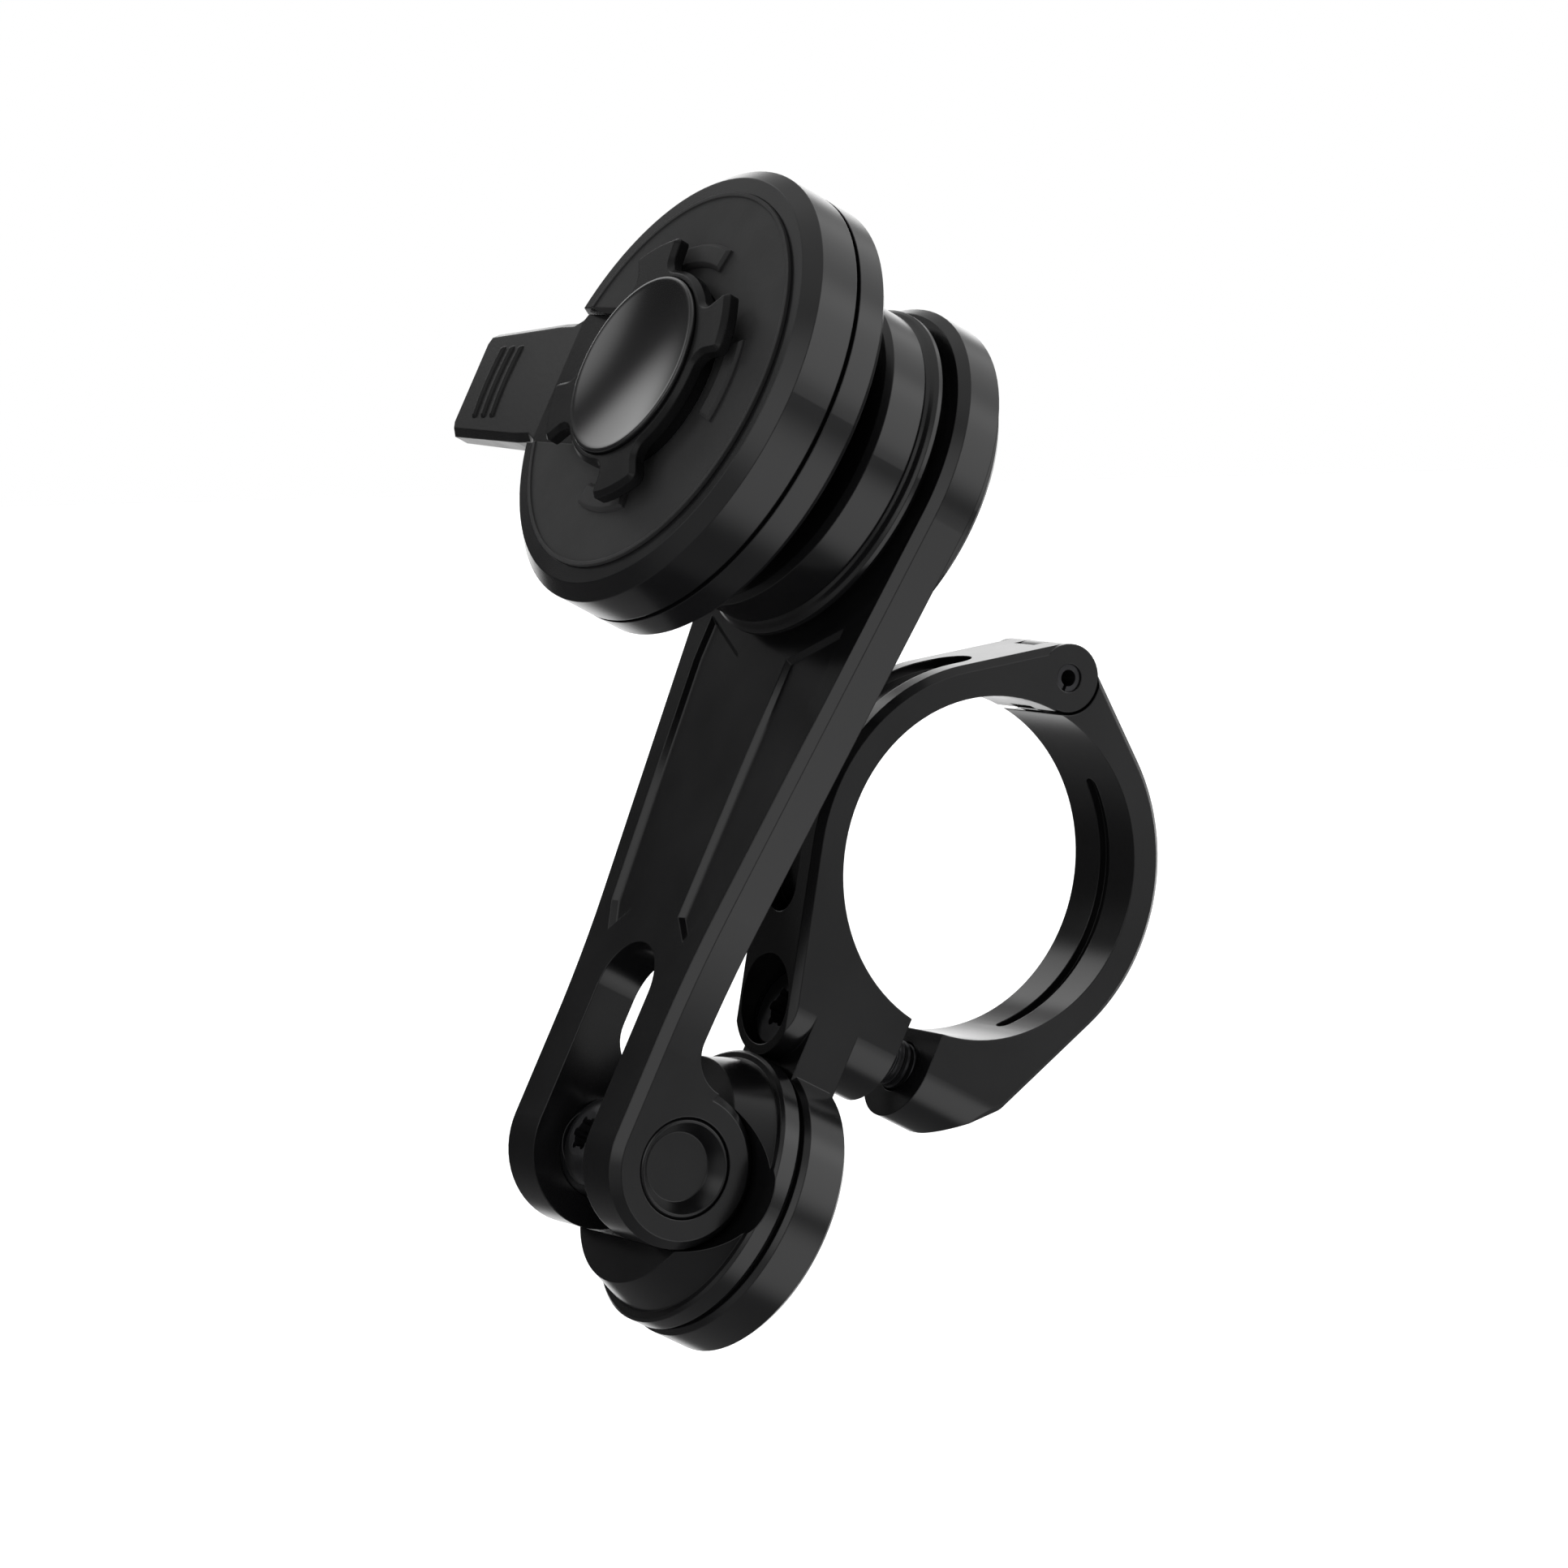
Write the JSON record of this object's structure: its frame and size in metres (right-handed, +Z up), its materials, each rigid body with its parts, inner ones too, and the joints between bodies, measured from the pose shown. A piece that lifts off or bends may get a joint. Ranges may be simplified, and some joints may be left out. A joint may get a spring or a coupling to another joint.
{
  "type": "handlebar phone mount",
  "caption": "Twist-lock phone mount head on a vibration isolator and tapered arm that tilts and swivels on a hinged handlebar clamp.",
  "frame": {"origin": "centre of the handlebar clamp's bore", "axes": "+X along the handlebar, +Y away from the rider, +Z up; the mount's face leans back 26.5 degrees from vertical towards +Z"},
  "size_m": [0.0682, 0.0681, 0.1176],
  "materials": {
    "anodised_aluminium": "satin black anodised",
    "black_polymer": "matte moulded black",
    "black_steel": "black oxide steel",
    "soft_pad": "matte rubber",
    "gloss_cap": "satin gloss black",
    "nickel_magnet": "nickel plated",
    "spring_steel": "bright spring steel",
    "damper_rubber": "elastomer"
  },
  "bodies": {
    "clamp": {"clamp_front": "anodised_aluminium", "hinge_pin": "black_steel", "pivot_screw": "black_steel"},
    "jaw": {"clamp_jaw": "anodised_aluminium"},
    "bolt": {"clamp_bolt": "black_steel"},
    "turret_body": {"turret": "anodised_aluminium", "swivel_ring": "black_polymer", "pivot_barrel": "anodised_aluminium"},
    "arm_body": {"arm": "anodised_aluminium", "rear_cap": "anodised_aluminium", "arm_screws": "black_steel", "isolator_base": "anodised_aluminium", "isolator_ring": "anodised_aluminium", "damper_front": "damper_rubber", "damper_rear": "damper_rubber"},
    "head": {"rear_housing": "anodised_aluminium", "housing_screws": "black_steel", "front_housing": "anodised_aluminium", "face_pad": "soft_pad", "lock_lug": "black_polymer", "lug_magnet": "nickel_magnet", "lug_cap": "gloss_cap", "lug_screws": "black_steel", "isolator_piston": "black_steel", "spindle_bolt": "black_steel"},
    "lever": {"release_lever": "black_polymer", "lever_springs": "spring_steel"}
  },
  "joints": [
    {"name": "swivel", "type": "hinge", "parent": "clamp", "child": "turret_body", "pos_m": [0, -0.02952, -0.03188], "axis": [0, -0.8949, 0.4462], "continuous": true},
    {"name": "tilt", "type": "hinge", "parent": "turret_body", "child": "arm_body", "pos_m": [0, -0.0391, -0.0271], "axis": [1, 0, 0], "range_deg": [-5, 110]},
    {"name": "head_float", "type": "slide", "parent": "arm_body", "child": "head", "axis": [0, -0.8949, 0.4462], "range_m": [-0.0006, 0.0006], "stiffness_N_per_m": 6000, "deforming": ["damper_rear", "damper_front"]},
    {"name": "lever_pull", "type": "slide", "parent": "head", "child": "lever", "axis": [-1, 0, 0], "range_m": [0, 0.0025], "stiffness_N_per_m": 400, "springref_m": -0.003},
    {"name": "jaw_open", "type": "hinge", "parent": "clamp", "child": "jaw", "pos_m": [0, 0.00946, 0.01897], "axis": [1, 0, 0], "range_deg": [0, 45]},
    {"name": "bolt_travel", "type": "slide", "parent": "clamp", "child": "bolt", "axis": [0, -0.8949, 0.4462], "range_m": [0, 0.0096]}
  ],
  "couplings": [
    {"joint": "bolt_travel", "follows": "jaw_open", "m_per_rad": 0.0121}
  ]
}
